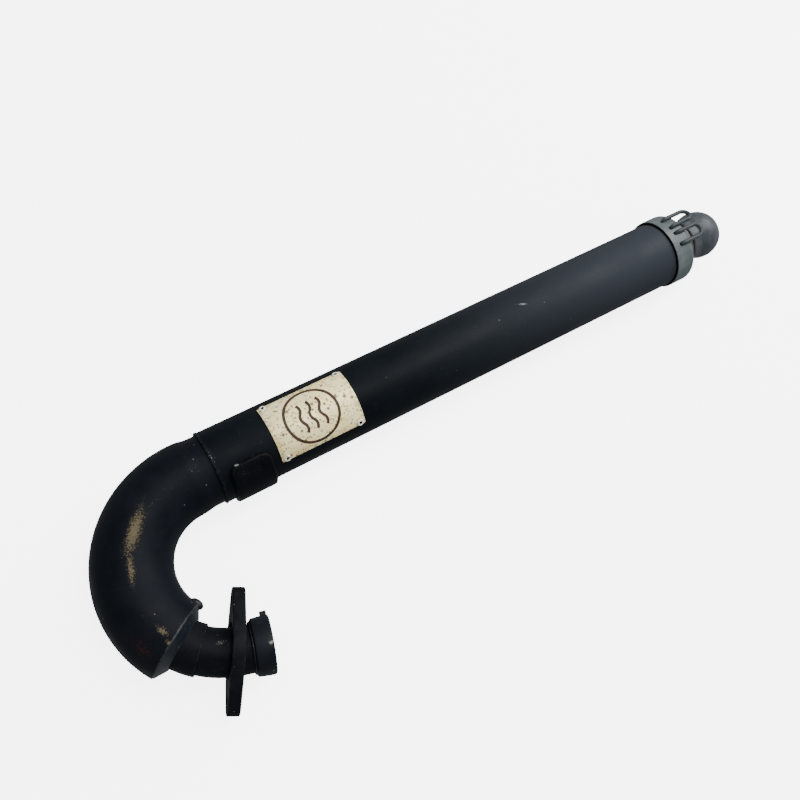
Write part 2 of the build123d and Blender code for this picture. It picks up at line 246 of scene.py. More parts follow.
def add(tree, kind, inputs=None, **settings):
    """A shader node of that kind, its sockets filled by name or number."""
    node = tree.nodes.new("ShaderNode" + kind)
    for name, value in settings.items():
        setattr(node, name, value)
    for key, value in (inputs or {}).items():
        put(tree, node.inputs[key], value)
    return node


def calc(tree, operation, first, second=0.0, clamp=False):
    node = add(tree, "Math", {0: first, 1: second}, operation=operation, use_clamp=clamp)
    return node.outputs[0]


def vector_calc(tree, operation, first, second=(0, 0, 0), output=0):
    node = add(tree, "VectorMath", {0: first, 1: second}, operation=operation)
    return node.outputs[output]


def ramp(tree, value, low, high, start=0.0, end=1.0):
    """Smoothly from start to end as the value goes from low to high."""
    node = add(
        tree,
        "MapRange",
        {"Value": value, "From Min": low, "From Max": high, "To Min": start, "To Max": end},
        interpolation_type="SMOOTHSTEP",
    )
    return node.outputs["Result"]


def mix_color(tree, factor, first, second):
    node = add(tree, "Mix", data_type="RGBA")
    put(tree, node.inputs[0], factor)
    put(tree, node.inputs[6], first)
    put(tree, node.inputs[7], second)
    return node.outputs[2]


def noise(tree, size, detail=3.0, roughness=0.5):
    """Noise on the object's own coordinates; size is that of one blob, in metres."""
    where = add(tree, "TexCoord").outputs["Object"]
    scale = calc(tree, "DIVIDE", 1.0, size)
    sockets = {"Vector": where, "Scale": scale, "Detail": detail, "Roughness": roughness}
    return add(tree, "TexNoise", sockets).outputs["Fac"]


def color(red, green, blue):
    return (red, green, blue, 1)


def new_paint(name):
    """A new material, with its node tree and its shader."""
    paint = bpy.data.materials.new(name)
    paint.use_nodes = True
    return paint, paint.node_tree, paint.node_tree.nodes["Principled BSDF"]


def new_group(name, inputs, outputs):
    """An empty shader group, with float or vector inputs and float outputs."""
    group = bpy.data.node_groups.new(name, "ShaderNodeTree")
    for label, value in inputs.items():
        is_vector = isinstance(value, tuple)
        kind = "NodeSocketVector" if is_vector else "NodeSocketFloat"
        socket = group.interface.new_socket(label, in_out="INPUT", socket_type=kind)
        socket.default_value = value
    for label in outputs:
        group.interface.new_socket(label, in_out="OUTPUT", socket_type="NodeSocketFloat")
    given = group.nodes.new("NodeGroupInput").outputs
    wanted = group.nodes.new("NodeGroupOutput").inputs
    return group, given, wanted


def use_group(tree, group, **values):
    node = tree.nodes.new("ShaderNodeGroup")
    node.node_tree = group
    for label, value in values.items():
        put(tree, node.inputs[label.replace("_", " ")], value)
    return node.outputs


# %% [markdown]
# ## Shared effects
# Every finish on this part shows the same few things: a fine grain in the sprayed
# coat, cloudy patches where it has aged, bright edges where it has rubbed through,
# pale specks of dust and chipping, hairline scratches, and a few large scuffs at
# places of their own. Each is one group with its own sizes, so that a material
# only says how much of it there is.

# %% Grain and clouds


def make_grain_group():
    """Grain is a height for bump; Clouds is a slow change from 0 to 1."""
    group, given, wanted = new_group(
        "coat_grain", {"Grain Size": 0.0006, "Cloud Size": 0.03}, ("Grain", "Clouds")
    )
    fine = noise(group, given["Grain Size"], 4.0, 0.65)
    clouds = noise(group, given["Cloud Size"], 5.0, 0.6)
    put(group, wanted["Grain"], fine)
    put(group, wanted["Clouds"], ramp(group, clouds, 0.3, 0.7))
    return group


coat_grain = make_grain_group()
print("group made:", coat_grain.name)

# %% [markdown]
# Worn edges are found with a Bevel node: where its rounded normal leans away
# from the true one, an edge is near. Noise breaks the line up, as rubbing does.

# %% Edge wear


def make_edge_group():
    group, given, wanted = new_group(
        "edge_wear", {"Width": 0.0008, "Amount": 1.0, "Break Size": 0.004}, ("Wear",)
    )
    rounded = add(group, "Bevel", {"Radius": given["Width"]}, samples=4).outputs["Normal"]
    true = add(group, "NewGeometry").outputs["Normal"]
    likeness = vector_calc(group, "DOT_PRODUCT", rounded, true, output="Value")
    near = ramp(group, calc(group, "SUBTRACT", 1.0, likeness), 0.01, 0.12)
    broken = ramp(group, noise(group, given["Break Size"], 4.0, 0.7), 0.42, 0.62)
    worn = calc(group, "MULTIPLY", near, broken)
    put(group, wanted["Wear"], calc(group, "MULTIPLY", worn, given["Amount"], clamp=True))
    return group


edge_wear = make_edge_group()
print("group made:", edge_wear.name)

# %% [markdown]
# Specks come from a pattern of cells, each of which shows a dot or none by a
# chance of its own. Scratches come from noise stretched into long thin streaks,
# cut to a hairline, and kept only in a few regions.

# %% Specks and scratches


def make_speck_group():
    """Small pale specks: cells of a Voronoi pattern whose middles are shown only here and there."""
    group, given, wanted = new_group(
        "specks", {"Spacing": 0.006, "Speck Size": 0.12, "Cover": 0.3}, ("Specks",)
    )
    where = add(group, "TexCoord").outputs["Object"]
    scale = calc(group, "DIVIDE", 1.0, given["Spacing"])
    cells = add(group, "TexVoronoi", {"Vector": where, "Scale": scale, "Randomness": 1.0})
    chance = vector_calc(group, "DOT_PRODUCT", cells.outputs["Color"], (1, 0, 0), output="Value")
    chosen = calc(group, "LESS_THAN", chance, given["Cover"])
    size = calc(group, "MULTIPLY", given["Speck Size"], calc(group, "ADD", chance, 0.6))
    edge = calc(group, "MULTIPLY", size, 0.5)
    dot = ramp(group, cells.outputs["Distance"], edge, size, 1.0, 0.0)
    put(group, wanted["Specks"], calc(group, "MULTIPLY", dot, chosen))
    return group


def make_scratch_group():
    """Hairlines: noise drawn out along one direction, of which only the middle level shows."""
    group, given, wanted = new_group(
        "scratches",
        {"Stretch": (60.0, 900.0, 900.0), "Turn": (0.0, 0.0, 0.3), "Hair Width": 0.006},
        ("Scratches",),
    )
    where = add(group, "TexCoord").outputs["Object"]
    sockets = {"Vector": where, "Rotation": given["Turn"]}
    turned = add(group, "VectorRotate", sockets, rotation_type="EULER_XYZ")
    drawn = vector_calc(group, "MULTIPLY", turned.outputs[0], given["Stretch"])
    level = add(group, "TexNoise", {"Vector": drawn, "Scale": 1.0, "Detail": 1.0}).outputs["Fac"]
    off_middle = calc(group, "ABSOLUTE", calc(group, "SUBTRACT", level, 0.5))
    line = ramp(group, off_middle, 0.0, given["Hair Width"], 1.0, 0.0)
    rare = ramp(group, noise(group, 0.012, 2.0), 0.56, 0.64)
    put(group, wanted["Scratches"], calc(group, "MULTIPLY", line, rare))
    return group


specks = make_speck_group()
scratches = make_scratch_group()
print("groups made:", specks.name, "and", scratches.name)

# %% [markdown]
# A scuff is one ragged patch: an ellipsoid round a place, turned about Z, whose
# rim is eaten by noise.

# %% Scuff patches


def make_scuff_group():
    group, given, wanted = new_group(
        "scuff_patch",
        {
            "Place": (0.0, 0.0, 0.0),
            "Half Size": (0.01, 0.01, 0.01),
            "Turn": 0.0,
            "Ragged": 0.004,
            "Cover": 0.5,
        },
        ("Scuff",),
    )
    where = add(group, "TexCoord").outputs["Object"]
    from_place = vector_calc(group, "SUBTRACT", where, given["Place"])
    sockets = {"Vector": from_place, "Angle": given["Turn"]}
    turned = add(group, "VectorRotate", sockets, rotation_type="Z_AXIS")
    shares = vector_calc(group, "DIVIDE", turned.outputs[0], given["Half Size"])
    away = vector_calc(group, "LENGTH", shares, output="Value")
    inside = calc(group, "SUBTRACT", 1.0, away, clamp=True)
    torn = noise(group, given["Ragged"], 6.0, 0.75)
    level = calc(group, "ADD", torn, calc(group, "MULTIPLY", inside, given["Cover"]))
    patch = ramp(group, level, 0.68, 0.8)
    put(group, wanted["Scuff"], calc(group, "MULTIPLY", patch, ramp(group, inside, 0.0, 0.12)))
    return group


scuff_patch = make_scuff_group()
print("effect groups:", [group.name for group in bpy.data.node_groups])

# %% [markdown]
# ## The black coat
# Stove paint is matt, near black and a little blue. One function builds every
# painted finish here: cloudy patches change its depth, specks and hairlines
# lighten it, rubbed edges show darkened steel, and scuffs show what lies under
# the coat. Each use gives its own colours, amounts and scuffs, so no two parts
# are quite alike. The grain and the scuffs also feed a Bump node. The shield tube
# also grows paler along its length, partly paint paled by heat and partly a
# painted sheen at its far end. Just before the cap's rim it has a dark band, which
# is the painted shadow of the gap under the rim.

# %% Painted finish
SOOT_TAN = color(0.135, 0.108, 0.062)
RUST = color(0.045, 0.014, 0.009)
CHIP_PALE = color(0.30, 0.29, 0.26)
SPECK_SIZE = 0.11
SPECK_SHOWS = 0.55
HAIR_SHOWS = 0.25
SCUFF_SHOWS = 0.8
SCUFF_RAGGED = 0.0011
SCUFF_DEEP = 0.012
BARE_ROUGHER = 0.15
BARE_SUNK = 0.6
WORN_SMOOTHER = 0.12
BUMP_HEIGHT = 0.0002


def along_run(tree, start, end):
    """0 before the start and 1 past the end, both being places along the run."""
    where = add(tree, "SeparateXYZ", {0: add(tree, "TexCoord").outputs["Object"]})
    return ramp(tree, where.outputs[0], start, end)


def painted_finish(
    name,
    deep,
    faded,
    roughness=0.5,
    gloss=0.2,
    edge=color(0.1, 0.1, 0.1),
    edge_amount=0.5,
    edge_width=0.0008,
    speck_cover=0.1,
    speck_spacing=0.007,
    hairs=0.4,
    grain=0.25,
    grain_size=0.0006,
    cloud_size=0.03,
    fade_and_sheen=None,
    gap_shadow_band=None,
    scuffs=(),
):
    """A painted metal.

    fade is (x start, x end, colour): paler along the run, partly paint paled by heat and partly a
    painted sheen.
    tip is (x start, x end): a band of the deep tone, a painted shadow in a gap.
    Each scuff is (place, half size, turn, cover, colour).
    """
    paint, tree, shader = new_paint(name)
    coat = use_group(tree, coat_grain, Grain_Size=grain_size, Cloud_Size=cloud_size)
    tone = mix_color(tree, coat["Clouds"], deep, faded)
    # Paler along the run: partly paint paled by heat, partly a painted sheen on the far end.
    if fade_and_sheen:
        start, end, pale = fade_and_sheen
        tone = mix_color(tree, along_run(tree, start, end), tone, pale)
    # A band of the deep tone: the painted shadow of a gap between two parts.
    if gap_shadow_band:
        start, end = gap_shadow_band
        tone = mix_color(tree, along_run(tree, start, end), tone, deep)
    dust = use_group(
        tree, specks, Spacing=speck_spacing, Speck_Size=SPECK_SIZE, Cover=speck_cover
    )["Specks"]
    tone = mix_color(tree, calc(tree, "MULTIPLY", dust, SPECK_SHOWS), tone, CHIP_PALE)
    lines = use_group(tree, scratches)["Scratches"]
    tone = mix_color(tree, calc(tree, "MULTIPLY", lines, HAIR_SHOWS * hairs), tone, CHIP_PALE)
    bare = dust
    for place, half_size, turn, cover, under in scuffs:
        patch = use_group(
            tree,
            scuff_patch,
            Place=tuple(place),
            Half_Size=half_size,
            Turn=turn,
            Cover=cover,
            Ragged=SCUFF_RAGGED,
        )["Scuff"]
        tone = mix_color(tree, calc(tree, "MULTIPLY", patch, SCUFF_SHOWS), tone, under)
        bare = calc(tree, "MAXIMUM", bare, patch)
    worn = use_group(tree, edge_wear, Width=edge_width, Amount=edge_amount)["Wear"]
    tone = mix_color(tree, worn, tone, edge)
    put(tree, shader.inputs["Base Color"], tone)
    rough = ramp(tree, coat["Clouds"], 0.0, 1.0, roughness - 0.06, roughness + 0.08)
    rough = calc(tree, "SUBTRACT", rough, calc(tree, "MULTIPLY", worn, WORN_SMOOTHER))
    rough = calc(tree, "ADD", rough, calc(tree, "MULTIPLY", bare, BARE_ROUGHER))
    put(tree, shader.inputs["Roughness"], rough)
    shader.inputs["Specular IOR Level"].default_value = gloss
    height = calc(tree, "SUBTRACT", coat["Grain"], calc(tree, "MULTIPLY", bare, BARE_SUNK))
    bump = add(tree, "Bump", {"Height": height, "Strength": grain, "Distance": BUMP_HEIGHT})
    put(tree, shader.inputs["Normal"], bump.outputs["Normal"])
    return paint


# %% [markdown]
# The elbow carries the biggest marks: a long tan scuff on top of the bend where
# it has lain against something, chips and a little rust near its mouth, and pale
# specks by the seam. They lie round the bend, so each is placed by its angle
# along the bend and its side of the shell.

# %% Black finishes


def round_bend(angle, side, radius):
    """A point on the bend, from degrees turned since the run and degrees outwards of the top."""
    turn = math.radians(angle)
    lean = math.radians(side)
    reach = bend_r + radius * math.sin(lean)
    height = radius * math.cos(lean)
    return bend_center + Vector((-reach * math.sin(turn), reach * math.cos(turn), height))


def bend_scuff(angle, side, length, width, cover, under):
    place = round_bend(angle, side, shell_r)
    return (place, (length, width, SCUFF_DEEP), -math.radians(angle), cover, under)


elbow_scuffs = (
    bend_scuff(49, -3, 0.034, 0.0098, 0.38, SOOT_TAN),
    bend_scuff(72, -3, 0.026, 0.0052, 0.34, SOOT_TAN),
    bend_scuff(28, -8, 0.012, 0.0024, 0.14, CHIP_PALE),
    bend_scuff(114.5, 1, 0.010, 0.0050, 0.36, SOOT_TAN),
    bend_scuff(122.5, 9, 0.0070, 0.0036, 0.44, SOOT_TAN),
    bend_scuff(112, 38, 0.030, 0.0200, 0.24, RUST),
    bend_scuff(-6, -3, 0.012, 0.0080, 0.13, CHIP_PALE),
)
elbow_black = painted_finish(
    "elbow_black",
    color(0.0020, 0.0030, 0.0054),
    color(0.0044, 0.0060, 0.0094),
    roughness=0.56,
    gloss=0.08,
    edge_amount=0.45,
    speck_cover=0.2,
    scuffs=elbow_scuffs,
)
tube_black = painted_finish(
    "tube_black",
    color(0.0012, 0.0024, 0.0042),
    color(0.0030, 0.0048, 0.0070),
    roughness=0.56,
    gloss=0.07,
    edge_amount=0.4,
    speck_cover=0.12,
    cloud_size=0.05,
    # Paler towards the outlet, partly paint paled by heat and partly a painted sheen.
    fade_and_sheen=(0.16, 0.50, color(0.025, 0.029, 0.036)),
    # The painted shadow of the gap under the cap's rim, in the deep tone.
    gap_shadow_band=(cap_low.x - 1.5 * MM, cap_low.x - 1.0 * MM),
    scuffs=(
        (round_run(tube_low.x + 2 * MM, 0, shell_r), (0.004, 0.018, SCUFF_DEEP), 0.0, 0.17, CHIP_PALE),
        (round_run(0.33, -8, shell_r), (0.010, 0.0016, SCUFF_DEEP), 0.4, 0.34, CHIP_PALE),
    ),
)
PAD_TOP_R = 35 * MM
pad_black = painted_finish(
    "pad_black",
    color(0.0010, 0.0014, 0.0026),
    color(0.0024, 0.0030, 0.0046),
    roughness=0.5,
    gloss=0.06,
    edge=color(0.10, 0.105, 0.10),
    edge_amount=0.9,
    edge_width=0.0018,
    speck_cover=0.1,
    scuffs=((round_run(0.0352, 23, PAD_TOP_R), (0.0036, 0.0026, 0.006), 0.5, 0.5, CHIP_PALE),),
)
stub_black = painted_finish(
    "stub_black",
    color(0.0018, 0.0024, 0.0042),
    color(0.0046, 0.0054, 0.0076),
    roughness=0.58,
    gloss=0.08,
    edge_amount=0.5,
    speck_cover=0.25,
    speck_spacing=0.005,
    cloud_size=0.012,
    hairs=0.9,
    scuffs=((Vector((-0.0352, 0.0190, 0.0176)), (0.008, 0.0034, 0.008), 0.3, 0.22, CHIP_PALE),),
)
collar_black = painted_finish(
    "collar_black",
    color(0.0030, 0.0044, 0.0070),
    color(0.0066, 0.0088, 0.0120),
    roughness=0.5,
    gloss=0.12,
    edge=color(0.09, 0.085, 0.075),
    edge_amount=0.8,
    edge_width=0.0012,
    speck_cover=0.15,
    speck_spacing=0.005,
    scuffs=(
        (Vector((-0.0022, 0.0005, 0.0234)), (0.0036, 0.0028, 0.006), 0.0, 0.36, CHIP_PALE),
        (Vector((-0.0093, -0.0196, 0.0130)), (0.0042, 0.0034, 0.006), 0.0, 0.34, CHIP_PALE),
    ),
)
ring_black = painted_finish(
    "ring_black",
    color(0.006, 0.009, 0.013),
    color(0.014, 0.018, 0.022),
    roughness=0.45,
    gloss=0.25,
    edge=color(0.08, 0.075, 0.065),
    edge_amount=0.7,
    speck_cover=0.3,
    speck_spacing=0.005,
    cloud_size=0.01,
)
flange_black = painted_finish(
    "flange_black",
    color(0.0018, 0.0024, 0.0036),
    color(0.0056, 0.0064, 0.0080),
    roughness=0.6,
    gloss=0.08,
    edge=color(0.07, 0.068, 0.062),
    edge_amount=0.7,
    edge_width=0.0014,
    speck_cover=0.3,
    speck_spacing=0.005,
    hairs=0.8,
    grain=0.5,
    grain_size=0.0011,
    cloud_size=0.014,
)
weld_black = painted_finish(
    "weld_black",
    color(0.003, 0.0036, 0.0052),
    color(0.008, 0.009, 0.011),
    roughness=0.42,
    gloss=0.25,
    edge_amount=0.3,
    grain=0.4,
    cloud_size=0.006,
)
print("black finishes:", sum(m.name.endswith("_black") for m in bpy.data.materials))

# %% [markdown]
# The outlet's fittings wear a thinner, greyer paint, almost green on the cap and
# a little violet on the ball, which turns in its socket and is rubbed smoother.
# The spacers inside were never painted.

# %% Grey and bare finishes
cap_grey = painted_finish(
    "cap_grey",
    color(0.064, 0.077, 0.079),
    color(0.098, 0.115, 0.116),
    roughness=0.48,
    gloss=0.3,
    edge=color(0.17, 0.18, 0.17),
    edge_amount=0.6,
    speck_cover=0.25,
    speck_spacing=0.005,
    cloud_size=0.012,
    hairs=0.8,
)
ball_grey = painted_finish(
    "ball_grey",
    color(0.030, 0.034, 0.040),
    color(0.054, 0.060, 0.068),
    roughness=0.46,
    gloss=0.3,
    edge=color(0.13, 0.13, 0.14),
    edge_amount=0.5,
    speck_cover=0.2,
    speck_spacing=0.005,
    cloud_size=0.014,
    hairs=0.9,
)
wire_grey = painted_finish(
    "wire_grey",
    color(0.026, 0.031, 0.034),
    color(0.050, 0.060, 0.064),
    roughness=0.5,
    gloss=0.2,
    edge_amount=0.0,
    speck_cover=0.2,
    speck_spacing=0.004,
    cloud_size=0.006,
)
inner_steel = painted_finish(
    "inner_steel",
    color(0.05, 0.045, 0.042),
    color(0.12, 0.10, 0.085),
    roughness=0.55,
    gloss=0.5,
    edge_amount=0.4,
    cloud_size=0.01,
)

FINISHES = {
    elbow_black: ("elbow_shell_upper", "elbow_shell_lower"),
    tube_black: ("shield_tube",),
    pad_black: ("saddle_pad",),
    stub_black: ("head_bend", "neck_sleeve"),
    collar_black: ("collar_tab",),
    ring_black: ("elbow_end_ring",),
    cap_grey: ("end_cap",),
    ball_grey: ("outlet_ball",),
    wire_grey: ("spring_hook_upper", "spring_hook_lower"),
    inner_steel: ("core_pipe", "front_spacer", "rear_spacer", "elbow_spacer"),
}


def give_finish(node, finish):
    mesh = frame["nodes"][node].data
    mesh.materials.clear()
    mesh.materials.append(finish)


for finish, nodes in FINISHES.items():
    for node in nodes:
        give_finish(node, finish)
print("CAD nodes with a finish:", sum(len(nodes) for nodes in FINISHES.values()))

# %% [markdown]
# ## Modelling helpers
# New pieces are modelled by operators, the way it is done by hand: a primitive,
# a few edit-mode steps, then modifiers that are applied. Operators act on what is
# selected, so everything is deselected first. A finished piece has its place in
# its mesh and its object at the origin, as the CAD nodes do.

# %% Modelling helpers


def select_only(*pieces):
    if bpy.context.object and bpy.context.object.mode != "OBJECT":
        bpy.ops.object.mode_set(mode="OBJECT")
    bpy.ops.object.select_all(action="DESELECT")
    for piece in pieces:
        piece.select_set(True)
    bpy.context.view_layer.objects.active = pieces[0] if pieces else None


def edit_all(piece):
    select_only(piece)
    bpy.ops.object.mode_set(mode="EDIT")
    bpy.ops.mesh.select_all(action="SELECT")


def select_where(piece, keep, kind="verts"):
    """Selects the vertices or faces of the mesh in edit mode that keep() accepts."""
    mesh = bmesh.from_edit_mesh(piece.data)
    bpy.ops.mesh.select_all(action="DESELECT")
    for element in getattr(mesh, kind):
        if keep(element):
            element.select_set(True)
    mesh.select_flush_mode()
    bmesh.update_edit_mesh(piece.data)


def leave_edit():
    bpy.ops.object.mode_set(mode="OBJECT")


def apply_modifier(piece, kind, **settings):
    select_only(piece)
    modifier = piece.modifiers.new(kind.lower(), kind)
    for name, value in settings.items():
        setattr(modifier, name, value)
    bpy.ops.object.modifier_apply(modifier=modifier.name)


def round_corners(piece, width, segments, sharper_than):
    """Bevels every corner that turns by more than that many degrees."""
    limit = math.radians(sharper_than)
    apply_modifier(
        piece, "BEVEL", width=width, segments=segments, limit_method="ANGLE", angle_limit=limit
    )


def close_and_orient(piece, reach=0.01 * MM):
    """Merges doubled vertices and points every face outwards."""
    edit_all(piece)
    bpy.ops.mesh.remove_doubles(threshold=reach)
    bpy.ops.mesh.normals_make_consistent(inside=False)
    leave_edit()


def settle(piece, matrix=None):
    """Puts the piece in its place and applies it, so that its object is at the origin."""
    if matrix is not None:
        piece.matrix_world = matrix @ piece.matrix_world
    select_only(piece)
    bpy.ops.object.transform_apply(location=True, rotation=True, scale=True)


def hand_over(piece, name, finish, replaced=(), body="pipe", smooth=35):
    """Names a finished piece, paints it, and lets it ride on its body."""
    piece.name = name
    piece.data.materials.clear()
    piece.data.materials.append(finish)
    select_only(piece)
    bpy.ops.object.shade_smooth_by_angle(angle=math.radians(smooth))
    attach(piece, body)
    if replaced:
        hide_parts(*replaced)
    triangles = sum(len(face.vertices) - 2 for face in piece.data.polygons)
    print(f"{name}: {triangles} triangles, rides on {body}")
    return piece


# %% [markdown]
# ## Loose flange
# The flange is a thick plate with two ears, torched or stamped and then handled
# for years, so its corners are round. Three discs are joined and wrapped in a
# convex hull, which is the outline of such a plate: round ears and a wider hub,
# with straight tangents between them. The holes are Boolean cuts, and a Bevel
# modifier rounds every corner. It hangs crooked on the stub, as the mount says.

# %% Loose flange
FLANGE_THICK = 10.3 * MM
HUB_R = 29 * MM
EAR_R = 11 * MM
HOLE_R = 22.15 * MM
bolt_circle = mounts["flange_bolts"]["dims"]
BOLT_REACH = bolt_circle["pcd_mm"] / 2 * MM
BOLT_R = bolt_circle["hole_r_mm"] * MM
FLANGE_CORNER = 1.1 * MM


def add_disc(radius, depth, x, segments=96):
    bpy.ops.object.select_all(action="DESELECT")
    bpy.ops.mesh.primitive_cylinder_add(
        vertices=segments, radius=radius, depth=depth, location=(x, 0, 0)
    )
    return bpy.context.object


def cut_round_hole(piece, radius, x):
    cutter = add_disc(radius, 3 * FLANGE_THICK, x)
    apply_modifier(piece, "BOOLEAN", object=cutter, operation="DIFFERENCE", solver="EXACT")
    bpy.data.objects.remove(cutter)


def make_flange():
    flange = add_disc(HUB_R, FLANGE_THICK, 0)
    ears = [add_disc(EAR_R, FLANGE_THICK, side * BOLT_REACH, 64) for side in (-1, 1)]
    select_only(flange, *ears)
    bpy.ops.object.join()
    edit_all(flange)
    bpy.ops.mesh.convex_hull()
    bpy.ops.mesh.select_all(action="SELECT")
    bpy.ops.mesh.dissolve_limited(angle_limit=math.radians(1))
    leave_edit()
    for radius, x in ((HOLE_R, 0), (BOLT_R, -BOLT_REACH), (BOLT_R, BOLT_REACH)):
        cut_round_hole(flange, radius, x)
    round_corners(flange, FLANGE_CORNER, 4, 50)
    ears_along = Vector((-flange_normal.y, flange_normal.x, 0))
    settle(flange, axes_matrix(flange_middle, ears_along, flange_normal))
    return hand_over(flange, "loose_flange", flange_black, ["head_flange"], "flange", 40)


make_flange()

# %% [markdown]
# ## Turned pieces
# The collar was turned on a lathe and welded to the stub, so it is modelled by
# the same turn: one circle is extruded step by step along its axis and scaled to
# each radius of the profile, and the last loop meets the first. A Bevel modifier
# then softens the corners as handling has.

# %% Inlet collar
PIPE_R = 19.05 * MM
COLLAR_LONG = 15.4 * MM
COLLAR_R = 23.4 * MM
COLLAR_TOE_R = 22.7 * MM
COLLAR_LAND = 10.4 * MM
COLLAR_EDGE = 1.2 * MM
COLLAR_ROUND = 0.45 * MM
LIP_INSIDE = 0.9 * MM


def turn_profile(profile, segments=144):
    """A closed ring round Z from (height, radius) points, in order round its section."""
    height, radius = profile[0]
    bpy.ops.object.select_all(action="DESELECT")
    bpy.ops.mesh.primitive_circle_add(vertices=segments, radius=radius, location=(0, 0, height))
    piece = bpy.context.object
    settle(piece)
    edit_all(piece)
    for next_height, next_radius in profile[1:] + profile[:1]:
        rise = (0, 0, next_height - height)
        bpy.ops.mesh.extrude_region_move(TRANSFORM_OT_translate={"value": rise})
        share = next_radius / radius
        bpy.ops.transform.resize(value=(share, share, 1), center_override=(0, 0, 0))
        height, radius = next_height, next_radius
    leave_edit()
    close_and_orient(piece)
    return piece


def make_collar():
    profile = [
        (0, PIPE_R - LIP_INSIDE),
        (0, COLLAR_R - COLLAR_EDGE),
        (-COLLAR_EDGE, COLLAR_R),
        (COLLAR_LAND - COLLAR_LONG, COLLAR_R),
        (COLLAR_EDGE - COLLAR_LONG, COLLAR_TOE_R),
        (-COLLAR_LONG, COLLAR_TOE_R - COLLAR_EDGE),
        (-COLLAR_LONG, PIPE_R - LIP_INSIDE),
    ]
    collar = turn_profile(profile)
    round_corners(collar, COLLAR_ROUND, 3, 25)
    settle(collar, axes_matrix(Vector((0, 0, 0)), (0, 0, 1), stub_out))
    return hand_over(collar, "worn_collar", collar_black, ["inlet_collar"])


make_collar()

# %% [markdown]
# ## Weld beads
# A weld is a row of small overlapping puddles. A torus has its rings picked out
# at an even step and fattened, which leaves one ripple for each puddle. The same
# bead closes the cap, the ball's neck and the collar.

# %% Ring welds
RIPPLE = 0.16 * MM
RINGS_PER_RIPPLE = 4
RING_PUDDLE = 2.4 * MM
RING_BEAD_R = 1.2 * MM
BALL_BEAD_R = 1.0 * MM
BEAD_OUT = 0.5 * MM
BALL_BEAD_OUT = 0.4 * MM
BALL_BEAD_BACK = 0.1 * MM
COLLAR_BEAD_BACK = 0.4 * MM


def fatten_rings(piece, ring_of):
    """Fattens every puddle's middle rings; ring_of gives a vertex's ring number."""
    edit_all(piece)
    select_where(piece, lambda vertex: ring_of(vertex) % RINGS_PER_RIPPLE in (0, 1))
    bpy.ops.transform.shrink_fatten(value=RIPPLE)
    bpy.ops.mesh.select_all(action="SELECT")
    bpy.ops.mesh.vertices_smooth(factor=0.3)
    leave_edit()


def make_ring_weld(name, middle, direction, radius, thickness, finish, replaced):
    puddles = round(2 * math.pi * radius / RING_PUDDLE)
    rings = puddles * RINGS_PER_RIPPLE
    bpy.ops.object.select_all(action="DESELECT")
    bpy.ops.mesh.primitive_torus_add(
        major_segments=rings, minor_segments=12, major_radius=radius, minor_radius=thickness
    )
    bead = bpy.context.object
    fatten_rings(bead, lambda v: round(math.atan2(v.co.y, v.co.x) / (2 * math.pi) * rings))
    settle(bead, axes_matrix(middle, (0, 0, 1), direction))
    return hand_over(bead, name, finish, [replaced], smooth=60)


ball_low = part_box("outlet_ball")[0]
cap_seam = Vector((cap_high.x + BEAD_OUT, run_axis.y, run_axis.z))
ball_seam = Vector((ball_low.x - BALL_BEAD_BACK, run_axis.y, run_axis.z))
collar_seam = stub_out * (-COLLAR_LONG - COLLAR_BEAD_BACK)
cap_bead_r = PIPE_R + BEAD_OUT
ball_bead_r = PIPE_R + BALL_BEAD_OUT
make_ring_weld(
    "cap_bead", cap_seam, along, cap_bead_r, RING_BEAD_R, cap_grey, "cap_weld"
)
make_ring_weld(
    "ball_bead", ball_seam, along, ball_bead_r, BALL_BEAD_R, ball_grey, "ball_weld"
)
make_ring_weld(
    "collar_bead",
    collar_seam,
    stub_out,
    PIPE_R + BEAD_OUT,
    RING_BEAD_R,
    weld_black,
    "collar_weld",
)

# %% [markdown]
# ## Seam beads
# The elbow is two stamped halves, welded where they meet, so a bead follows the
# bend inside and outside. A small circle is spun about the bend's upright axis
# and its ends are filled. It gets the same ripples as the rings.

# %% Seam beads
MOUTH_ANGLE = 122
BEAD_R = 1.1 * MM
BEAD_SINK = 0.2 * MM
SEAM_PUDDLE = 2.6 * MM


def make_seam_bead(name, side, replaced):
    """side is 1 for the seam outside the bend, -1 for the one inside it."""
    reach = bend_r + side * (shell_r - BEAD_SINK)
    puddles = round(reach * math.radians(MOUTH_ANGLE) / SEAM_PUDDLE)
    steps = puddles * RINGS_PER_RIPPLE
    start = bend_center + Vector((0, reach, 0))
    bpy.ops.object.select_all(action="DESELECT")
    bpy.ops.mesh.primitive_circle_add(
        vertices=12, radius=BEAD_R, location=start, rotation=(0, math.radians(90), 0)
    )
    bead = bpy.context.object
    settle(bead)
    edit_all(bead)
    turn = -math.radians(MOUTH_ANGLE)
    bpy.ops.mesh.spin(steps=steps, angle=turn, center=bend_center, axis=(0, 0, 1))
    bpy.ops.mesh.select_all(action="SELECT")
    bpy.ops.mesh.fill_holes(sides=0)
    bpy.ops.mesh.normals_make_consistent(inside=False)

    def ring_of(vertex):
        arm = vertex.co - bend_center
        return round(math.atan2(-arm.x, arm.y) / math.radians(MOUTH_ANGLE) * steps)

    fatten_rings(bead, ring_of)
    return hand_over(bead, name, weld_black, [replaced], smooth=60)


make_seam_bead("outer_seam_bead", 1, "elbow_weld_outer")
make_seam_bead("inner_seam_bead", -1, "elbow_weld_inner")

# %% [markdown]
# Where the inner bead ran out at the mouth, the welder let the metal pile up into
# a lump. It is a sphere drawn out along the seam and roughened by small random
# moves with a fixed seed, which are then smoothed.

# %% Seam end
LUMP_R = 4.2 * MM
LUMP_SHAPE = (1.5, 1, 0.9)
LUMP_ROUGH = 0.5 * MM
LUMP_OUT = 0.5 * MM
LUMP_BACK = 0.3 * LUMP_R


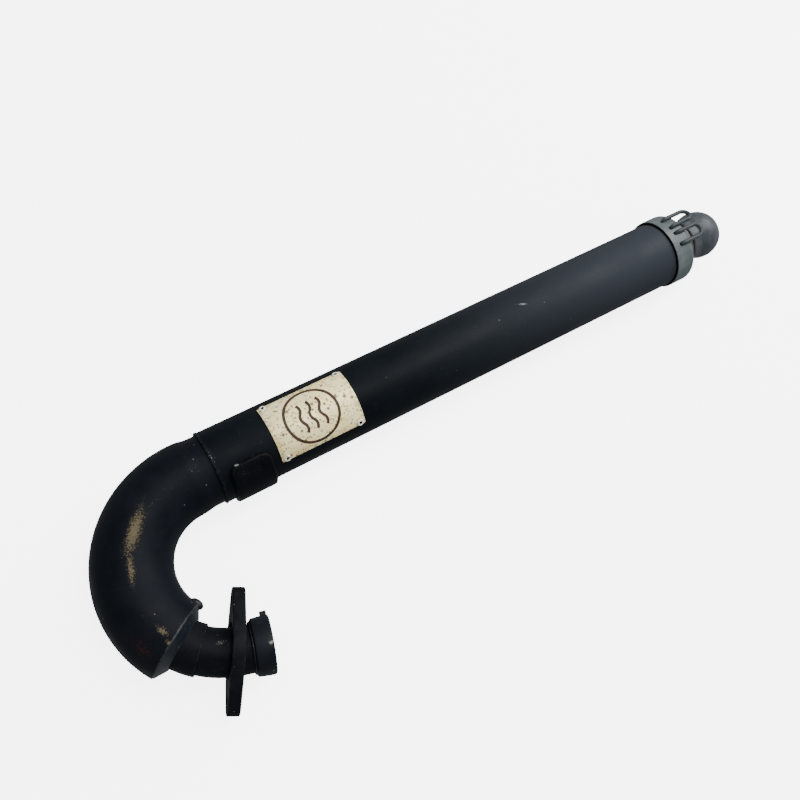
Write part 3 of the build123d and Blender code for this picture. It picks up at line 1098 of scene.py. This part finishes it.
def make_seam_lump():
    turn = math.radians(MOUTH_ANGLE)
    arm = Vector((-math.sin(turn), math.cos(turn), 0))
    travel = Vector((-math.cos(turn), -math.sin(turn), 0))
    bpy.ops.object.select_all(action="DESELECT")
    bpy.ops.mesh.primitive_ico_sphere_add(subdivisions=4, radius=LUMP_R)
    lump = bpy.context.object
    edit_all(lump)
    bpy.ops.transform.resize(value=LUMP_SHAPE, center_override=(0, 0, 0))
    bpy.ops.transform.vertex_random(offset=LUMP_ROUGH, seed=3)
    bpy.ops.mesh.vertices_smooth(factor=0.5, repeat=3)
    leave_edit()
    place = bend_center + arm * (bend_r - shell_r + LUMP_OUT) - travel * LUMP_BACK
    settle(lump, axes_matrix(place, travel, (0, 0, 1)))
    return hand_over(lump, "seam_end_lump", weld_black, smooth=60)


make_seam_lump()

# %% [markdown]
# ## Warning plate
# The plate is thin metal, cut flat, etched, then rolled to the tube. It is made
# in that order: a flat sheet with rounded corners is given its thickness, and a
# Simple Deform modifier rolls it about the run's axis. A piece is drawn flat with
# X round the tube and Y along it, and the roll keeps lengths, as real sheet does.

# %% Rolling sheet onto the tube
plate_low, plate_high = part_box("warning_plate")
PLATE_MIDDLE = 6.5
PLATE_HALF = 49.5
PLATE_THICK = 0.8 * MM
PLATE_CORNER = 1.5 * MM
PLATE_EDGE = 0.22 * MM
PLATE_STRIPS = 48
plate_r = shell_r + PLATE_THICK
plate_long = plate_high.x - plate_low.x
plate_wide = 2 * math.radians(PLATE_HALF) * plate_r
plate_x = (plate_low.x + plate_high.x) / 2
print("plate, mm:", round(plate_long / MM, 1), "along the tube,", round(plate_wide / MM, 1), "round it")


def width_of(piece):
    across = [vertex.co.x for vertex in piece.data.vertices]
    return max(across) - min(across)


def roll_on(piece, x, angle, radius):
    """Rolls a flat piece, drawn round the origin with Z outwards, onto the tube at x and an angle."""
    width = width_of(piece)
    select_only(piece)
    piece.rotation_euler = (math.radians(90), 0, 0)
    bpy.ops.object.transform_apply(location=False, rotation=True, scale=False)
    bend = width / radius
    apply_modifier(piece, "SIMPLE_DEFORM", deform_method="BEND", deform_axis="Z", angle=bend)
    turn = math.radians(angle)
    across = Vector((0, -math.cos(turn), -math.sin(turn)))
    rolled = Matrix((across, -out_from_run(angle), along)).transposed().to_4x4()
    settle(piece, Matrix.Translation(round_run(x, angle, radius)) @ rolled)


def radii_of(piece):
    """Nearest and farthest vertex from the run's axis, in millimetres."""
    away = [math.hypot(v.co.y - run_axis.y, v.co.z - run_axis.z) / MM for v in piece.data.vertices]
    return round(min(away), 2), round(max(away), 2)


def make_plate():
    bpy.ops.object.select_all(action="DESELECT")
    bpy.ops.mesh.primitive_plane_add(size=1)
    plate = bpy.context.object
    plate.scale = (plate_wide, plate_long, 1)
    settle(plate)
    edit_all(plate)
    bpy.ops.mesh.bevel(offset=PLATE_CORNER, segments=5, affect="VERTICES")
    leave_edit()
    for cut in range(1, PLATE_STRIPS):
        edit_all(plate)
        across = plate_wide * (cut / PLATE_STRIPS - 0.5)
        bpy.ops.mesh.bisect(plane_co=(across, 0, 0), plane_no=(1, 0, 0), use_fill=False)
        leave_edit()
    edit_all(plate)
    bpy.ops.mesh.extrude_region_move(TRANSFORM_OT_translate={"value": (0, 0, -PLATE_THICK)})
    leave_edit()
    close_and_orient(plate)
    round_corners(plate, PLATE_EDGE, 2, 60)
    roll_on(plate, plate_x, PLATE_MIDDLE, plate_r)
    print("plate lies between radii", radii_of(plate))
    return hand_over(plate, "aged_plate", plate_metal, ["warning_plate"])


# %% [markdown]
# Its finish is bright nickel gone warm: it darkens towards its edges and rivets,
# and is peppered with brown specks, smears and fine scratches. Years of film on
# it scatter light, so it is given only a little Metallic. The etched lines keep a
# brown fill.

# %% Plate finishes
NICKEL = color(1.0, 0.92, 0.52)
NICKEL_AGED = color(1.0, 0.80, 0.36)
NICKEL_PALE = color(0.95, 0.88, 0.68)
RIVET_BRIGHT = color(1.0, 0.96, 0.84)
GRIME = color(0.10, 0.062, 0.028)
STAIN_SIZE = (0.0052, 0.0052, 0.006)
DULL_METAL = 0.12
SPECK_DARKNESS = 0.9
SCRATCH_SHOWS = 0.35
STAIN_SHOWS = 0.75
GRIME_SHOWS = 0.85
CLEAN_SIDE_OFFSET = 3.7 * MM
CLEAN_HALF_WIDTH = 17 * MM
DIRTY_HALF_WIDTH = 25 * MM
DIRTY_ENDS = 7 * MM
RIVET_INSET = 4.8 * MM
RIVET_INSET_ANGLE = 5
rivet_spots = [
    (x, PLATE_MIDDLE + side * (PLATE_HALF - RIVET_INSET_ANGLE))
    for x in (plate_low.x + RIVET_INSET, plate_high.x - RIVET_INSET)
    for side in (-1, 1)
]


def make_plate_finish(name, bright, aged, edge_grime, stains=()):
    paint, tree, shader = new_paint(name)
    coat = use_group(tree, coat_grain, Grain_Size=0.0007, Cloud_Size=0.016)
    tone = mix_color(tree, coat["Clouds"], bright, aged)
    smears = ramp(tree, noise(tree, 0.005, 5.0, 0.7), 0.5, 0.75)
    tone = mix_color(tree, calc(tree, "MULTIPLY", smears, 0.5), tone, aged)
    where = add(tree, "SeparateXYZ", {0: add(tree, "TexCoord").outputs["Object"]}).outputs
    off_middle = calc(tree, "ABSOLUTE", calc(tree, "SUBTRACT", where[0], plate_x))
    clean_y = run_axis.y - CLEAN_SIDE_OFFSET
    round_off = calc(tree, "ABSOLUTE", calc(tree, "SUBTRACT", where[1], clean_y))
    near_ends = ramp(tree, off_middle, plate_long / 2 - DIRTY_ENDS, plate_long / 2)
    near_sides = ramp(tree, round_off, CLEAN_HALF_WIDTH, DIRTY_HALF_WIDTH)
    border = calc(tree, "MAXIMUM", near_ends, near_sides)
    ragged = ramp(tree, noise(tree, 0.004, 5.0, 0.7), 0.38, 0.68)
    dirty = calc(tree, "MULTIPLY", calc(tree, "MULTIPLY", border, ragged), edge_grime)
    pepper = use_group(tree, specks, Spacing=0.0022, Speck_Size=0.42, Cover=0.75)["Specks"]
    blots = use_group(tree, specks, Spacing=0.0055, Speck_Size=0.30, Cover=0.75)["Specks"]
    marks = calc(tree, "MAXIMUM", calc(tree, "MULTIPLY", pepper, SPECK_DARKNESS), blots)
    lines = use_group(tree, scratches, Stretch=(500.0, 70.0, 500.0), Turn=(0.0, 0.0, 0.5))
    tone = mix_color(tree, calc(tree, "MULTIPLY", lines["Scratches"], SCRATCH_SHOWS), tone, aged)
    dark = calc(tree, "MAXIMUM", dirty, marks)
    for x, angle in stains:
        place = tuple(round_run(x, angle, plate_r))
        stain = use_group(tree, scuff_patch, Place=place, Half_Size=STAIN_SIZE, Ragged=0.002)["Scuff"]
        dark = calc(tree, "MAXIMUM", dark, calc(tree, "MULTIPLY", stain, STAIN_SHOWS))
    tone = mix_color(tree, calc(tree, "MULTIPLY", dark, GRIME_SHOWS), tone, GRIME)
    put(tree, shader.inputs["Base Color"], tone)
    metal = calc(tree, "SUBTRACT", DULL_METAL, calc(tree, "MULTIPLY", dark, DULL_METAL))
    put(tree, shader.inputs["Metallic"], metal)
    rough = ramp(tree, coat["Clouds"], 0.0, 1.0, 0.34, 0.5)
    rough = calc(tree, "ADD", rough, calc(tree, "MULTIPLY", dark, 0.25))
    put(tree, shader.inputs["Roughness"], rough)
    height = calc(tree, "SUBTRACT", coat["Grain"], dark)
    bump = add(tree, "Bump", {"Height": height, "Strength": 0.25, "Distance": 0.00015})
    put(tree, shader.inputs["Normal"], bump.outputs["Normal"])
    return paint


plate_metal = make_plate_finish("plate_metal", NICKEL, NICKEL_AGED, 0.9, rivet_spots)
rivet_nickel = make_plate_finish("rivet_nickel", RIVET_BRIGHT, NICKEL_PALE, 0.0)
etched_brown = painted_finish(
    "etched_brown",
    color(0.022, 0.011, 0.006),
    color(0.060, 0.033, 0.018),
    roughness=0.6,
    gloss=0.3,
    edge_amount=0.0,
    hairs=0.0,
    speck_cover=0.1,
    speck_spacing=0.0025,
    cloud_size=0.004,
)
print("rivets to be set:", len(rivet_spots))
make_plate()

# %% [markdown]
# ## Etched artwork
# A ring with three waves rising in it says "hot". Each line is a thin inlay a
# tenth of a millimetre proud. The ring is an inset circle with its middle taken
# out. A wave is a short edge spun about one side, then the other, so its arcs
# flow into each other.

# %% Etched artwork
RING_X = plate_low.x + 37.6 * MM
ART_ANGLE = 6.9
RING_R = 24.8 * MM
LINE_WIDE = 2.5 * MM
INLAY = 0.1 * MM
WAVE_LONG = 25 * MM
WAVE_WIDE = 2.5 * MM
WAVE_STEP = 9.0 * MM
WAVE_BEND = 80
WAVE_STEPS = 10


def finish_inlay(piece, name, x):
    """Gives a flat line its thickness and rolls it onto the plate."""
    edit_all(piece)
    bpy.ops.mesh.extrude_region_move(TRANSFORM_OT_translate={"value": (0, 0, -2 * INLAY)})
    leave_edit()
    close_and_orient(piece, 0.005 * MM)
    roll_on(piece, x, ART_ANGLE, plate_r + INLAY)
    return hand_over(piece, name, etched_brown)


def make_etched_ring():
    bpy.ops.object.select_all(action="DESELECT")
    bpy.ops.mesh.primitive_circle_add(vertices=128, radius=RING_R, fill_type="NGON")
    ring = bpy.context.object
    edit_all(ring)
    bpy.ops.mesh.inset(thickness=LINE_WIDE)
    bpy.ops.mesh.delete(type="FACE")
    leave_edit()
    return finish_inlay(ring, "etched_ring", RING_X)


def make_heat_wave(number):
    half_turn = math.radians(WAVE_BEND) / 2
    bend = WAVE_LONG / 6 / math.sin(half_turn)
    bpy.ops.object.select_all(action="DESELECT")
    bpy.ops.mesh.primitive_plane_add(size=1)
    wave = bpy.context.object
    edit_all(wave)
    select_where(wave, lambda vertex: vertex.co.x > 0)
    bpy.ops.mesh.delete(type="VERT")
    leave_edit()
    for vertex, side in zip(wave.data.vertices, (-1, 1)):
        vertex.co = (0, side * WAVE_WIDE / 2, 0)
    spot = Vector((-WAVE_LONG / 2, 0, 0))
    heading = half_turn
    wave.matrix_world = Matrix.Translation(spot) @ Matrix.Rotation(heading, 4, "Z")
    settle(wave)
    edit_all(wave)
    for side in (-1, 1, -1):
        arm = Vector((-math.sin(heading), math.cos(heading), 0)) * side * bend
        pivot = spot + arm
        turn = side * 2 * half_turn
        bpy.ops.mesh.spin(steps=WAVE_STEPS, angle=-turn, center=pivot, axis=(0, 0, 1))
        spot = pivot + Matrix.Rotation(turn, 3, "Z") @ -arm
        heading += turn
    leave_edit()
    return finish_inlay(wave, f"heat_wave_{number}", RING_X + (number - 2) * WAVE_STEP)


make_etched_ring()
for number in (1, 2, 3):
    make_heat_wave(number)

# %% [markdown]
# ## Rivets
# Tubular rivets hold the plate, one near each corner: a low round head with a
# hole down its middle. One head is a cylinder whose top is inset and pushed down,
# with its corners beveled, and the other three are copies turned to their places.
# The faces in and round the hole get the stub's black as a second material,
# a painted shade in the hole.

# %% Rivets
RIVET_R = 2.9 * MM
RIVET_HIGH = 1.1 * MM
RIVET_BORE = 1.15 * MM
RIVET_BORE_DEEP = 0.85 * RIVET_HIGH
# How far round the hole the painted shade reaches.
RIVET_SHADE_R = 1.25 * RIVET_BORE
RIVET_ROUND = 0.42 * MM
RIVET_SINK = 0.05 * MM


def make_rivet():
    bpy.ops.object.select_all(action="DESELECT")
    bpy.ops.mesh.primitive_cylinder_add(
        vertices=40, radius=RIVET_R, depth=RIVET_HIGH, location=(0, 0, RIVET_HIGH / 2)
    )
    rivet = bpy.context.object
    settle(rivet)
    edit_all(rivet)
    select_where(rivet, lambda face: face.normal.z > 0.9, "faces")
    bpy.ops.mesh.inset(thickness=RIVET_R - RIVET_BORE)
    bpy.ops.mesh.extrude_region_move(TRANSFORM_OT_translate={"value": (0, 0, -RIVET_BORE_DEEP)})
    leave_edit()
    round_corners(rivet, RIVET_ROUND, 4, 60)
    return rivet


def set_rivets():
    first = make_rivet()
    for number, (x, angle) in enumerate(rivet_spots, 1):
        rivet = first.copy()
        rivet.data = first.data.copy()
        bpy.context.scene.collection.objects.link(rivet)
        outwards = out_from_run(angle)
        settle(rivet, axes_matrix(round_run(x, angle, plate_r - RIVET_SINK), along, outwards))
        hand_over(rivet, f"plate_rivet_{number}", rivet_nickel, ["plate_rivets"])
        # The faces in and round the hole take the stub's black: painted shade in the hole.
        rivet.data.materials.append(stub_black)
        rivet_middle = round_run(x, angle, plate_r)
        for face in rivet.data.polygons:
            arm = face.center - rivet_middle
            off_axis = arm - outwards * arm.dot(outwards)
            face.material_index = 1 if off_axis.length < RIVET_SHADE_R else 0
    bpy.data.objects.remove(first)


set_rivets()
